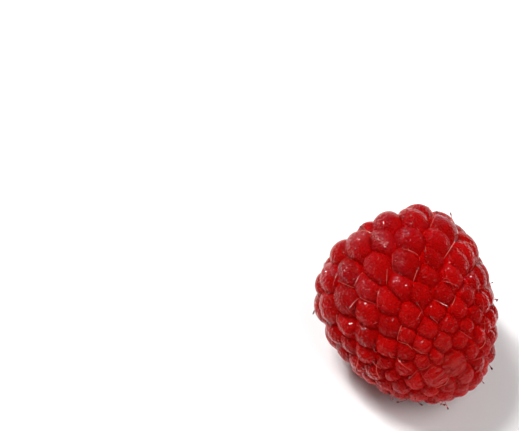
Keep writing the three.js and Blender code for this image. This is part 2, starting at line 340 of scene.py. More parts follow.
class SphereMap:
    """Gives every point of the profile a polar angle on a unit sphere.

    The angle is chosen so that small circles on the sphere are circles on the berry, or ovals where the
    drupelets are stretched: the logarithm of the tangent of half the angle grows with the way along the
    profile over the radius and the stretch.
    """

    def __init__(self, profile: Array, drupelets: Drupelets) -> None:
        """Works out the table.

        Args:
            profile: (n, 2) radius and height, from the tip to the bottom of the hollow.
            drupelets: sizes that set the stretch.
        """
        self.profile = profile
        steps = np.linalg.norm(np.diff(profile, axis=0), axis=1)
        self.length = np.concatenate([[0], np.cumsum(steps)])
        rim = int(np.argmin(profile[:, 1]))
        self.rim = self.length[rim]
        # The mean of 1 over the radius along each step, but for the two steps that end on the axis.
        r = profile[:, 0]
        change = r[2:-1] - r[1:-2]
        even = np.abs(change) < TINY
        ratio = np.where(even, 1, r[2:-1] / r[1:-2])
        inverse = np.where(even, 1 / r[1:-2], np.log(ratio) / np.where(even, 1, change))
        growth = steps[1:-1] * inverse / drupelets.stretch(self.middles()[1:-1])
        tangent = np.concatenate([[0, 0], np.cumsum(growth)])
        polar = 2 * np.arctan(np.exp(tangent - tangent[rim]))
        polar[0] = 0
        self.polar = np.concatenate([polar, [math.pi]])
        inner = r[1:-1] / np.sin(self.polar[1:-1])
        self.scale = np.concatenate([inner[:1], inner, inner[-1:]])

    def middles(self) -> Array:
        """The way at the middle of each step of the profile."""
        return (self.length[1:] + self.length[:-1]) / 2 / self.rim

    def areas(self) -> Array:
        """The area that each step sweeps round the axis: pi times its radii's sum times its length."""
        return math.pi * (self.profile[1:, 0] + self.profile[:-1, 0]) * np.diff(self.length)

    def at(self, polar: Array) -> Spot:
        """Reads the profile at polar angles, straight between the steps of the table.

        Args:
            polar: angles from the tip.

        Returns:
            The profile there.
        """
        k = np.clip(np.searchsorted(self.polar, polar, side="right") - 1, 0, len(self.polar) - 2)
        t = (polar - self.polar[k]) / (self.polar[k + 1] - self.polar[k])
        a, b = self.profile[k], self.profile[k + 1]
        along = unit(b - a)
        normal = np.stack([-along[..., 1], along[..., 0]], axis=-1)
        way = lerp(self.length[k], self.length[k + 1], t) / self.rim
        return Spot(lerp(a, b, t[..., None]), normal, way, lerp(self.scale[k], self.scale[k + 1], t))


@dataclass
class Lie:
    """How the berry lies: turned about its axis, tip down, and settled a little on its lowest drupelets."""

    roll: float = 0.3987
    pitch: float = 0.1918
    flat: float = 0.22

    def matrix(self) -> Array:
        """The turn about the berry's axis, and then the one about X that lays it down.

        Returns:
            A 3 x 3 matrix.
        """
        c, s = math.cos(self.roll), math.sin(self.roll)
        about_axis = np.array([[c, -s, 0], [s, c, 0], [0, 0, 1]])
        c, s = math.cos(math.pi / 2 + self.pitch), math.sin(math.pi / 2 + self.pitch)
        return np.array([[1, 0, 0], [0, c, -s], [0, s, c]]) @ about_axis


@dataclass(frozen=True)
class Corners:
    """The corners where three cells meet."""

    points: Array  # (m, 3) on the unit sphere
    cells: Array  # (m, 3) the cells that meet there


@dataclass(frozen=True)
class Wedges:
    """The cells split into wedges between a seed and two neighbouring corners, counter-clockwise."""

    cell: Array
    first: Array  # the corner where a wedge begins
    second: Array  # the corner where it ends
    following: Array  # the next wedge round the same cell


@dataclass
class Cells:
    """The cells of the unit sphere: each seed's own part, bounded by corners where three cells meet."""

    place: Array  # (n, 3) seeds on the unit sphere
    ball: Array  # (n,) radius of each seed's ball on the unit sphere
    near: int = 21  # how many neighbours are looked at

    def depth(self, cell: Array, p: Array) -> Array:
        """How far inside a cell's ball a point is: the radius squared less the distance squared."""
        return self.ball[cell] ** 2 - 2 + 2 * np.sum(self.place[cell] * p, axis=-1)

    def lead(self, p: Array) -> tuple[Array, Array]:
        """Finds the cell that holds each point.

        Args:
            p: (..., 3) points of the unit sphere.

        Returns:
            The cell that each point is deepest in, and how much deeper it is there than in the next.
        """
        depth = self.ball**2 + 2 * p @ self.place.T
        best = np.sort(depth, axis=-1)[..., -2:]
        return np.argmax(depth, axis=-1), best[..., 1] - best[..., 0]

    def corners(self) -> Corners:
        """Finds the points that are equally deep in three balls and no deeper in any other.

        Such a point lies on the line where the planes between the first ball and the other two meet, and on
        the unit sphere: it is the line's nearest point to the middle, and a step along it either way.

        Returns:
            The corners of all cells.
        """
        n = len(self.place)
        gaps = np.linalg.norm(self.place[:, None] - self.place[None], axis=2)
        near = np.argsort(gaps, axis=1, kind="stable")[:, 1 : self.near + 1]
        i = np.repeat(np.arange(n), self.near**2)
        j = np.repeat(near, self.near, axis=1).ravel()
        k = np.tile(near, (1, self.near)).ravel()
        keep = (i < j) & (j < k)
        i, j, k = i[keep], j[keep], k[keep]
        u, v = self.place[i] - self.place[j], self.place[i] - self.place[k]
        e = (self.ball[j] ** 2 - self.ball[i] ** 2)[:, None] / 2
        f = (self.ball[k] ** 2 - self.ball[i] ** 2)[:, None] / 2
        axis = np.cross(u, v)
        square = np.sum(axis**2, axis=1, keepdims=True)
        base = (e * np.cross(v, axis) + f * np.cross(axis, u)) / square
        reach = 1 - np.sum(base**2, axis=1, keepdims=True)
        step = axis * np.sqrt(np.maximum(reach, 0) / square)
        points = np.concatenate([base + step, base - step])
        cells = np.tile(np.stack([i, j, k], axis=1), (2, 1))
        real = np.tile(reach[:, 0] > 0, 2) & (np.sum(points * self.place[cells[:, 0]], axis=1) > 0)
        points, cells = points[real], cells[real]
        others = near[cells[:, 0]]
        own = self.depth(cells[:, :1], points[:, None])
        same = (others == cells[:, 1:2]) | (others == cells[:, 2:3])
        nearest = np.all(same | (self.depth(others, points[:, None]) < own), axis=1)
        return Corners(points[nearest], cells[nearest])

    def wedges(self, corners: Corners) -> Wedges:
        """Splits each cell into wedges, by the bearings of its corners from its seed.

        Args:
            corners: the corners of all cells.

        Returns:
            The wedges, cell by cell.
        """
        side = unit(np.cross([0, 0, 1], self.place))
        up = np.cross(self.place, side)
        cell, corner = corners.cells.ravel(), np.repeat(np.arange(len(corners.points)), 3)
        p = corners.points[corner]
        bearing = np.arctan2(np.sum(p * up[cell], axis=1), np.sum(p * side[cell], axis=1))
        order = np.lexsort([bearing, cell])
        cell, corner = cell[order], corner[order]
        first = np.searchsorted(cell, cell, side="left")
        last = np.searchsorted(cell, cell, side="right")
        number = np.arange(len(cell))
        following = np.where(number + 1 < last, number + 1, first)
        return Wedges(cell, corner, corner[following], following)

    def settled(self) -> "Cells":
        """Moves each seed to the middle of its cell: the mean of its wedges' middles, by their areas.

        Returns:
            The new cells, with the same balls.
        """
        corners = self.corners()
        wedges = self.wedges(corners)
        a, b = corners.points[wedges.first], corners.points[wedges.second]
        seed = self.place[wedges.cell]
        area = np.linalg.norm(np.cross(a - seed, b - seed), axis=1)
        middle = np.zeros_like(self.place)
        np.add.at(middle, wedges.cell, (a + b + seed) * area[:, None])
        return Cells(unit(middle), self.ball, self.near)


@dataclass(frozen=True)
class Footing:
    """The laid skin at some points, where hairs may stand."""

    place: Array
    outward: Array
    share: Array  # of the way from the seed to the cell's edge
    way: Array


@dataclass
class BerryForm:
    """The berry's skin as a function of a point on the unit sphere."""

    outline: Outline = field(default_factory=Outline)
    drupelets: Drupelets = field(default_factory=Drupelets)
    lie: Lie = field(default_factory=Lie)
    pole_margin: float = 0.01  # radians that a point keeps from the poles
    scatter_stray: float = 0.5  # how far scattered points stray, over the distance between them

    def __post_init__(self) -> None:
        """Works out the map and the cells."""
        self.map = SphereMap(self.outline.points(), self.drupelets)
        self.cells = self.place_drupelets()
        self.shift = np.zeros(3)

    def evenly(self, total: int, amount: Array) -> Array:
        """Polar angles of points that all have the same share of an amount.

        Args:
            total: number of points.
            amount: what each step of the profile has of it.

        Returns:
            The angles, in order from the tip.
        """
        summed = np.concatenate([[0], np.cumsum(amount)])
        return np.interp((np.arange(total) + 0.5) * summed[-1] / total, summed, self.map.polar)

    def wind(self, polar: Array, stray: Array, along: Stream, across: Stream) -> Array:
        """Winds points round the sphere: each turns on from the last by the golden angle, and strays.

        Args:
            polar: their angles from the tip.
            stray: how far each strays at most, in radians.
            along: the stream of strays from and to the tip.
            across: the stream of strays round the axis.

        Returns:
            (n, 3) points of the unit sphere.
        """
        index = np.arange(len(polar))
        polar = np.clip(polar + stray * draw(index, along), self.pole_margin, math.pi - self.pole_margin)
        return on_sphere(polar, index * GOLDEN_ANGLE + stray * draw(index, across) / np.sin(polar))

    def place_drupelets(self) -> Cells:
        """Sets a seed for each drupelet.

        Each has the same share of the surface, counted in drupelets. The two twins take the place of the
        seeds that they would cover, and then all settle.

        Returns:
            The cells, the twins' last.
        """
        d, m = self.drupelets, self.map
        middles = m.middles()
        count = m.areas() / (HEXAGON * d.size(middles) ** 2 * d.stretch(middles))
        total = round(np.sum(count))
        polar = self.evenly(total, count)
        spot = m.at(polar)
        size = d.size(spot.way)
        place = self.wind(polar, d.place_spread * size / spot.scale, Stream.SEED_ALONG, Stream.SEED_ROUND)
        spread = 1 + d.size_spread * draw(np.arange(total), Stream.SEED_SIZE)
        ball = d.ball_share * size * spread / spot.scale
        offset, around = np.array(d.twins).T
        twins = on_sphere(offset / m.scale[0], around - self.lie.roll)
        twin_ball = d.twin_radius / m.scale[0]
        gaps = np.linalg.norm(place[:, None] - twins[None], axis=2)
        others = np.all(gaps > d.twin_room * twin_ball, axis=1)
        balls = np.append(ball[others], [twin_ball] * len(twins))
        cells = Cells(np.vstack([place[others], twins]), balls)
        for _ in range(d.settling):
            cells = cells.settled()
        return cells

    def nearness(self, p: Array, reach: float) -> Array:
        """How near points are to the join of the twins: 1 on it, falling off as a bell curve.

        Args:
            p: points of the unit sphere.
            reach: distance on the berry at which it has fallen to 1 over e.

        Returns:
            The nearness of each point.
        """
        join = unit(self.cells.place[-1] + self.cells.place[-2])
        distance = np.linalg.norm(p - join, axis=-1) * self.map.at(polar_of(p)).scale
        return np.exp(-((distance / reach) ** 2))

    def skin(self, p: Array, cell: Array, share: Array) -> tuple[Array, Array, Array]:
        """The places of the skin for points of the sphere.

        The profile passes over the drupelets' tops, and the skin sinks below it towards the creases, by
        the bulge of a nominal drupelet's top less the bulge at the point, and a little more at the edge.

        Args:
            p: points of the unit sphere.
            cell: the cell of each point.
            share: how far each point is from its seed, as a share of the way to the cell's edge.

        Returns:
            The places before the berry is laid down, the bulge as a share of a nominal top's, and the way
            along the profile.
        """
        d = self.drupelets
        spot = self.map.at(polar_of(p))
        size = d.size(spot.way)
        top = d.bulge((d.ball_share * size) ** 2)
        bulge = d.bulge(self.cells.depth(cell, p) * spot.scale**2)
        drop = d.pillow * size * share**d.pillow_power
        fused = d.fusion * self.nearness(p, d.fusion_reach)
        sunk = d.relief(spot.way) * (1 - fused) * (top - bulge + drop)
        radius = spot.place[..., 0] - spot.normal[..., 0] * sunk
        height = spot.place[..., 1] - spot.normal[..., 1] * sunk
        turn = turn_of(p)
        lobe = self.outline.lobe(turn + self.lie.roll)
        return spin(radius * lobe, height, turn), bulge / top, spot.way

    def lay(self, points: Array) -> Array:
        """Lays points of the berry down where it lies."""
        return points @ self.lie.matrix().T + self.shift

    def surface(self, p: Array) -> Footing:
        """The laid skin at any points of the sphere.

        The share of the way to the cell's edge is read from how much deeper a point is in its own ball than
        in the next, over the same at the seed.

        Args:
            p: (..., 3) points of the unit sphere.

        Returns:
            The skin there.
        """
        own, lead = self.cells.lead(p)
        _, full = self.cells.lead(self.cells.place)
        share = np.clip(1 - lead / full[own], 0, 1)
        place, _, way = self.skin(p, own, share)
        normal = self.map.at(polar_of(p)).normal
        outward = spin(normal[..., 0], normal[..., 1], turn_of(p))
        return Footing(self.lay(place), outward @ self.lie.matrix().T, share, way)

    def scatter(self, count: int) -> Array:
        """Points of the sphere that are spread evenly over the berry's own surface.

        Args:
            count: number of points.

        Returns:
            (count, 3) points of the unit sphere.
        """
        areas = self.map.areas()
        polar = self.evenly(count, areas)
        gap = math.sqrt(np.sum(areas) / count)
        stray = self.scatter_stray * gap / self.map.at(polar).scale
        return self.wind(polar, stray, Stream.DOWN_ALONG, Stream.DOWN_ROUND)

    def settle_in(self, points: Array) -> None:
        """Finds the place where the berry lies.

        Its box is centred on the frame's, and its lowest points reach below the ground by the depth of the
        flats.

        Args:
            points: places of the skin before it is laid down.
        """
        laid = points @ self.lie.matrix().T
        low, high = node_box()
        middle = (laid.min(axis=0) + laid.max(axis=0)) / 2
        self.shift = (low + high) / 2 - middle
        self.shift[2] = -self.lie.flat - laid[:, 2].min()


# ---- The skin --------------------------------------------------------------------------------------------


@dataclass
class Skin:
    """The berry's fine skin: every drupelet is a fan of wedges, each a grid of rings and steps."""

    form: BerryForm
    rings: int = 11
    steps: int = 7
    ring_power: float = 0.85
    crease: Span = (0.3, 0.75)  # bulge over a top's, between which the painted glow of the creases gives way
    hollow: Span = (1.05, 1.3)  # way along which the colour of the hollow comes in
    fold_reach: float = 3.4  # how far the folds reach from the join of the twins

    def ring_shares(self) -> Array:
        """Shares of the way from a seed to its edge: a power of a sine, so closer together at the edge."""
        t = np.arange(self.rings + 1) / self.rings
        return np.sin(t * math.pi / 2) ** self.ring_power

    def grid(self) -> tuple[Array, Array, Array, list[Array]]:
        """Lays the rings and steps over all the cells at once. Neighbours share the points between them.

        A point is the seed's place, moved by the ring's share towards the point of the cell's edge that is
        the step's share between two corners, and put back on the unit sphere.

        Returns:
            The points on the unit sphere, the cell of each, its share of the way to the edge, and the faces.
        """
        cells, rings, steps = self.form.cells, self.rings, self.steps
        corners = cells.corners()
        wedges = cells.wedges(corners)
        cell, a, b = wedges.cell, wedges.first, wedges.second
        count = len(cell)
        share = self.ring_shares()[1:rings]
        step = np.arange(1, steps) / steps

        # Two wedges share each edge. Its points run from the lower corner number to the higher.
        low, high = np.minimum(a, b), np.maximum(a, b)
        pairs = low * len(corners.points) + high
        _, first, edge = np.unique(pairs, return_index=True, return_inverse=True)
        ends = corners.points[low[first]], corners.points[high[first]]
        edge_points = unit(lerp(ends[0][:, None], ends[1][:, None], step[None, :, None]))
        forwards = np.arange(steps - 1)[None]
        across = np.where((a < b)[:, None], forwards, forwards[:, ::-1])

        seed = cells.place[cell][:, None]
        spoke_points = unit(lerp(seed, corners.points[a][:, None], share[None, :, None]))
        edges = edge_points[edge[:, None], across][:, None]
        inner_points = unit(lerp(seed[:, None], edges, share[None, :, None, None]))

        grids = (cells.place, corners.points, edge_points, spoke_points, inner_points)
        groups = [grid.reshape(-1, 3) for grid in grids]
        owners = [
            np.arange(len(cells.place)),
            corners.cells[:, 0],
            np.repeat(cell[first], steps - 1),
            np.repeat(cell, rings - 1),
            np.repeat(cell, (rings - 1) * (steps - 1)),
        ]
        shares = [
            np.zeros(len(cells.place)),
            np.ones(len(corners.points)),
            np.ones(len(first) * (steps - 1)),
            np.tile(share, count),
            np.tile(np.repeat(share, steps - 1), count),
        ]

        start = np.cumsum([0] + [len(group) for group in groups])
        ids = np.empty((count, rings + 1, steps + 1), dtype=np.int64)
        ids[:, 0, :] = cell[:, None]
        ids[:, rings, 0] = start[1] + a
        ids[:, rings, steps] = start[1] + b
        ids[:, rings, 1:steps] = start[2] + edge[:, None] * (steps - 1) + across
        spokes = start[3] + np.arange(len(groups[3])).reshape(count, rings - 1)
        ids[:, 1:rings, 0] = spokes
        ids[:, 1:rings, steps] = spokes[wedges.following]
        inner = start[4] + np.arange(len(groups[4]))
        ids[:, 1:rings, 1:steps] = inner.reshape(count, rings - 1, steps - 1)
        return np.concatenate(groups), np.concatenate(owners), np.concatenate(shares), self.faces(ids)

    @staticmethod
    def faces(ids: Array) -> list[Array]:
        """Faces between the grids' points: triangles round the seed, and quads between the other rings.

        Args:
            ids: (wedge, ring, step) numbers of the points.

        Returns:
            The triangles and the quads.
        """
        tips = np.stack([ids[:, 0, :-1], ids[:, 1, :-1], ids[:, 1, 1:]], axis=-1)
        around = [ids[:, 1:-1, :-1], ids[:, 2:, :-1], ids[:, 2:, 1:], ids[:, 1:-1, 1:]]
        return [tips.reshape(-1, 3), np.stack(around, axis=-1).reshape(-1, 4)]

    def build(self, finish: "SkinFinish") -> bpy.types.Object:
        """Makes the skin, finds where the berry lies, and stores what the finish reads.

        Args:
            finish: the finish of the skin.

        Returns:
            The piece, which stands for the frame's solid.
        """
        sphere, cell, share, faces = self.grid()
        place, bulge, way = self.form.skin(sphere, cell, share)
        self.form.settle_in(place)
        laid = self.form.lay(place)
        laid[:, 2] = np.maximum(laid[:, 2], 0)
        piece = make_mesh("Raspberry_skin", laid, faces, finish.build())
        # where the creases get their painted glow of brighter red
        paint(piece, "crease", 1 - smooth(bulge, *self.crease))
        paint(piece, "hollow", smooth(way, *self.hollow))
        paint(piece, "tone", draw(cell, Stream.DRUPELET_TONE))
        paint(piece, "fold", self.form.nearness(sphere, self.fold_reach))
        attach(piece, "root")
        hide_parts(NODE)
        return piece


# ---- Hairs -----------------------------------------------------------------------------------------------


def tubes(paths: Array, radii: Array, sides: int) -> tuple[Array, list[Array]]:
    """Round tubes along paths, with closed ends.

    A ring's points are the path's point plus the radius times the cosine and sine of even turns along two
    directions across the path. The first of the two is level, or square to X where the path is steep.

    Args:
        paths: (n, s, 3) points of n paths.
        radii: (n, s) radius at each.
        sides: number of points in a ring.

    Returns:
        The points, (n * (s * sides + 2), 3), each tube's rings and then its two ends, and the faces.
    """
    steep = 0.8  # upward part of a path's direction past which it counts as steep
    n, s, _ = paths.shape
    along = unit(np.gradient(paths, axis=1))
    guide = np.where(np.abs(along[..., 2:]) < steep, [0, 0, 1.0], [1.0, 0, 0])
    across = unit(np.cross(along, guide))
    other = np.cross(along, across)
    turn = np.arange(sides) / sides * 2 * math.pi
    ring = across[:, :, None] * np.cos(turn)[:, None] + other[:, :, None] * np.sin(turn)[:, None]
    body = (paths[:, :, None] + ring * radii[:, :, None, None]).reshape(n, s * sides, 3)
    points = np.concatenate([body, paths[:, :1], paths[:, -1:]], axis=1)
    start = (np.arange(n) * (s * sides + 2))[:, None, None]
    k, q = np.arange(s - 1)[:, None] * sides, np.arange(sides)[None]
    after = (q + 1) % sides
    quads = np.stack([k + q, k + after, k + sides + after, k + sides + q], axis=-1).reshape(1, -1, 4)
    last = (s - 1) * sides
    first_cap = np.stack([q * 0 + s * sides, after, q], axis=-1).reshape(1, -1, 3)
    last_cap = np.stack([q * 0 + s * sides + 1, last + q, last + after], axis=-1).reshape(1, -1, 3)
    caps = np.concatenate([first_cap, last_cap], axis=1)
    return points.reshape(-1, 3), [(quads + start).reshape(-1, 4), (caps + start).reshape(-1, 3)]


@dataclass
class Styles:
    """The dried styles: stiff thin hairs between the drupelets.

    Most lie in their crease. The others stand up from it, and their tips swell to a dark club.
    """

    form: BerryForm
    count: int = 140
    group: int = 5  # styles are counted off in groups of so many,
    lying_in_group: int = 3  # and the first so many of each group lie
    lying: Span = (1.4, 2.7)  # shortest and longest of those that lie
    standing: Span = (1.3, 2.0)  # the same for those that stand
    root: float = 0.05  # height of the roots over the skin
    lying_tip: float = 0.35  # highest that a lying tip rises from there
    standing_tip: float = 1.25
    tip_spread: float = 0.3
    lying_rise: Span = (0.3, 1.1)  # share of its length along which a lying one rises
    standing_power: float = 1.3  # power of the share by which a standing one rises
    bend: float = 0.45  # how far the middle of a path is drawn to the corner that it passes
    stray: float = 0.03  # how far it strays, in radians
    thickness: float = 0.1
    thickness_spread: float = 0.25
    taper: float = 0.35
    club: Span = (0.6, 0.35)  # distance from the tip where the club begins and where it is full
    club_swell: float = 1.4
    stations: int = 10
    sides: int = 5
    evening: int = 2  # rounds in which the kinks are evened out
    margin: float = 0.6  # how far they may reach past the frame's box

    def routes(self) -> tuple[Array, Array, Array]:
        """Picks the three corners that guide each style.

        The first is a corner where three drupelets meet, and they are spread evenly over the outside. The
        second is one of the three next to it, by turns. The third is the next along the straighter of the
        two creases that go on from there.

        Returns:
            Three arrays of (count, 3) points of the unit sphere.
        """
        corners = self.form.cells.corners()
        wedges = self.form.cells.wedges(corners)
        points = corners.points
        beside = wedges.second[np.argsort(wedges.first, kind="stable")].reshape(-1, 3)
        outside = np.flatnonzero(self.form.map.at(polar_of(points)).way < RIM_WAY)
        index = np.arange(self.count)
        start = outside[(index * len(outside) // self.count + index % 2) % len(outside)]
        bend = beside[start, index // 2 % 3]
        choices = beside[bend]
        ahead = unit(points[bend] - points[start])
        onward = unit(points[choices] - points[bend][:, None])
        straight = np.einsum("nkc,nc->nk", onward, ahead)
        back = choices == start[:, None]
        end = choices[index, np.argmax(np.where(back, -np.inf, straight), axis=1)]
        return points[start], points[bend], points[end]

    def paths(self) -> tuple[Array, Array]:
        """Follows the creases, and lets the tips rise.

        The stations are points of the quadratic curve that a style's three corners guide, so it cuts the
        bend short, and they end at the style's own length.

        Returns:
            (n, stations, 3) points in millimetres, where the berry lies, and which styles stand up.
        """
        start, bend, end = (corner[:, None] for corner in self.routes())
        index = np.arange(self.count)
        stands = index % self.group >= self.lying_in_group
        shortest, longest = np.where(stands[:, None], self.standing, self.lying).T
        length = lerp(shortest, longest, (draw(index, Stream.STYLE_LENGTH) + 1) / 2)
        whole = (np.linalg.norm(bend - start, axis=-1) + np.linalg.norm(end - bend, axis=-1))[:, 0]
        scale = self.form.map.at(polar_of(start[:, 0])).scale
        part = np.clip(length / (whole * scale), 0, 1)
        share = np.linspace(0, 1, self.stations)
        t = (share * part[:, None])[..., None]
        stray = draw_direction(index, Stream.STYLE_STRAY)[:, None] * self.stray
        middle = lerp((start + end) / 2, bend, self.bend) + stray
        ground = self.form.surface(unit(start * (1 - t) ** 2 + 2 * middle * t * (1 - t) + end * t**2))
        tip = np.where(stands, self.standing_tip, self.lying_tip)
        tip = tip * (1 - self.tip_spread + self.tip_spread * draw(index, Stream.STYLE_RISE))
        lying = smooth(share, *self.lying_rise) ** 2
        rise = np.where(stands[:, None], share**self.standing_power, lying)
        height = self.root + tip[:, None] * rise
        return self.evened(ground.place + ground.outward * height[..., None]), stands

    def evened(self, paths: Array) -> Array:
        """Evens out the kinks: each inner station moves to the mean of itself and its neighbours.

        Args:
            paths: (n, stations, 3) points.

        Returns:
            The same, with their ends in place.
        """
        for _ in range(self.evening):
            inner = (paths[:, :-2] + 2 * paths[:, 1:-1] + paths[:, 2:]) / 4
            paths = np.concatenate([paths[:, :1], inner, paths[:, -1:]], axis=1)
        return paths

    def inside_box(self, paths: Array) -> Array:
        """Tells which paths stay over the ground and inside the frame's box, but for the margin.

        Args:
            paths: (n, stations, 3) points.

        Returns:
            True or False for each path.
        """
        low, high = node_box()
        low, high = low - self.margin, high + self.margin
        low[2] = self.thickness
        return np.all((paths > low) & (paths < high), axis=(1, 2))

    def build(self, finish: "StyleFinish") -> bpy.types.Object:
        """Makes the styles as one piece, each thinner towards its tip but for the club.

        Args:
            finish: the finish of the styles.

        Returns:
            The piece.
        """
        paths, stands = self.paths()
        fits = self.inside_box(paths)
        paths, stands = paths[fits], stands[fits]
        index = np.arange(len(paths))
        t = np.linspace(0, 1, self.stations)
        length = np.sum(np.linalg.norm(np.diff(paths, axis=1), axis=-1), axis=1)[:, None]
        begins, full = self.club
        club = smooth(t * length, length - begins, length - full) * stands[:, None]
        width = self.thickness * (1 + self.thickness_spread * draw(index, Stream.STYLE_WIDTH))[:, None]
        radii = width / 2 * (1 - self.taper * t + self.club_swell * club)
        points, faces = tubes(paths, radii, self.sides)
        piece = make_mesh("Raspberry_styles", points, faces, finish.build())
        dark = np.concatenate([np.repeat(club, self.sides, axis=1), club[:, :1], club[:, -1:]], axis=1)
        paint(piece, "dark", dark.ravel())
        paint(piece, "tone", np.repeat(draw(index, Stream.STYLE_TONE), dark.shape[1]))
        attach(piece, "root")
        return piece


@dataclass
class Down:
    """Fine short hairs: a few in the creases, and many on the rim and all over the hollow's wall."""

    form: BerryForm
    count: int = 9000  # places all over the berry, most of which stay bare
    crease: float = 0.8  # share of the way from a seed to its edge where the crease begins
    crease_thinning: int = 8  # one place in so many of a crease has a hair
    outside: float = 0.38
    hollow: float = 0.6
    length_change: Span = (1.0, 1.3)  # way along which the one length goes over to the other
    length_spread: float = 0.35
    lean: float = 0.7
    stations: tuple[float, ...] = (-0.15, 0.5, 1.0)  # along the hair: below the skin, at the bend, the tip
    widths: tuple[float, ...] = (1.0, 0.8, 0.3)  # there, over the thickness
    thickness: float = 0.03
    sides: int = 3
    margin: float = 0.3  # how far they may reach past the frame's box

    def build(self, finish: "DownFinish") -> bpy.types.Object:
        """Makes the down as one piece.

        A hair's stations go out from the skin by their shares of its length, and to a side of its own by
        the lean times the squares of those shares.

        Args:
            finish: the finish of the down.

        Returns:
            The piece.
        """
        ground = self.form.surface(self.form.scatter(self.count))
        out, way = ground.outward, ground.way
        index = np.arange(self.count)
        keep = (ground.share > self.crease) & (index % self.crease_thinning == 0)
        keep |= way > RIM_WAY
        length = lerp(self.outside, self.hollow, smooth(way, *self.length_change))
        length = length * (1 + self.length_spread * draw(index, Stream.DOWN_LENGTH))
        lean = draw_direction(index, Stream.DOWN_LEAN)
        side = unit(lean - out * np.sum(lean * out, axis=-1, keepdims=True))
        t = np.array(self.stations)[None, :, None]
        bent = out[:, None] * t + self.lean * side[:, None] * t * np.abs(t)
        hairs = ground.place[:, None] + length[:, None, None] * bent
        low, high = node_box()
        keep &= np.all((hairs > low - self.margin) & (hairs < high + self.margin), axis=(1, 2))
        keep &= np.min(hairs[..., 2], axis=1) > self.thickness
        hairs = hairs[keep]
        radii = np.tile(self.thickness / 2 * np.array(self.widths), (len(hairs), 1))
        points, faces = tubes(hairs, radii, self.sides)
        piece = make_mesh("Raspberry_down", points, faces, finish.build())
        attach(piece, "root")
        return piece


# ---- Finishes --------------------------------------------------------------------------------------------


class Nodes:
    """A short way to lay out a material's nodes."""

    def __init__(self, name: str) -> None:
        """Starts a material with a Principled shader.

        Args:
            name: name of the material.
        """
        self.material = bpy.data.materials.new(name)
        self.material.use_nodes = True
        self.tree = self.material.node_tree
        self.shader = self.tree.nodes["Principled BSDF"]

    def add(self, kind: str, inputs: dict | None = None, **settings: object) -> bpy.types.Node:
        """Adds a node.

        Args:
            kind: Blender's name of the node's type.
            inputs: socket names or numbers with a value, or with a socket that is linked to them.
            settings: the node's own properties.

        Returns:
            The node.
        """
        node = self.tree.nodes.new(kind)
        for key, value in settings.items():
            setattr(node, key, value)
        for key, value in (inputs or {}).items():
            self.feed(node, key, value)
        return node

    def feed(self, node: bpy.types.Node, key: str | int, value: object) -> None:
        """Sets a socket, or links another socket to it.

        Args:
            node: the node that has the socket.
            key: the socket's name or number.
            value: its value, or the socket that is linked to it.
        """
        if isinstance(value, bpy.types.NodeSocket):
            self.tree.links.new(value, node.inputs[key])
        else:
            node.inputs[key].default_value = value

    def attribute(self, name: str) -> bpy.types.NodeSocket:
        """The number that the mesh stores for each vertex under a name."""
        return self.add("ShaderNodeAttribute", attribute_name=name).outputs["Fac"]

    def tone(self) -> bpy.types.NodeSocket:
        """The stored tone, moved from between -1 and 1 to between 0 and 1."""
        return self.math("MULTIPLY_ADD", self.attribute("tone"), 0.5, 0.5)

    def blend(self, share: object, a: object, b: object) -> bpy.types.NodeSocket:
        """A colour that is a where the share is 0 and b where it is 1."""
        return self.add("ShaderNodeMix", {0: share, 6: a, 7: b}, data_type="RGBA").outputs[2]

    def math(self, operation: str, a: object, b: object = 0.0, c: object = 0.0) -> bpy.types.NodeSocket:
        """What a Math node makes of two or three numbers."""
        return self.add("ShaderNodeMath", {0: a, 1: b, 2: c}, operation=operation).outputs[0]

    def where(self) -> bpy.types.NodeSocket:
        """The object's own coordinates."""
        return self.add("ShaderNodeTexCoord").outputs["Object"]

    def noise(self, size: float, detail: float) -> bpy.types.NodeSocket:
        """Noise on the object's own coordinates, with lumps of a size in millimetres."""
        inputs = {"Vector": self.where(), "Scale": 1 / (size * MM), "Detail": detail}
        return self.add("ShaderNodeTexNoise", inputs).outputs["Fac"]


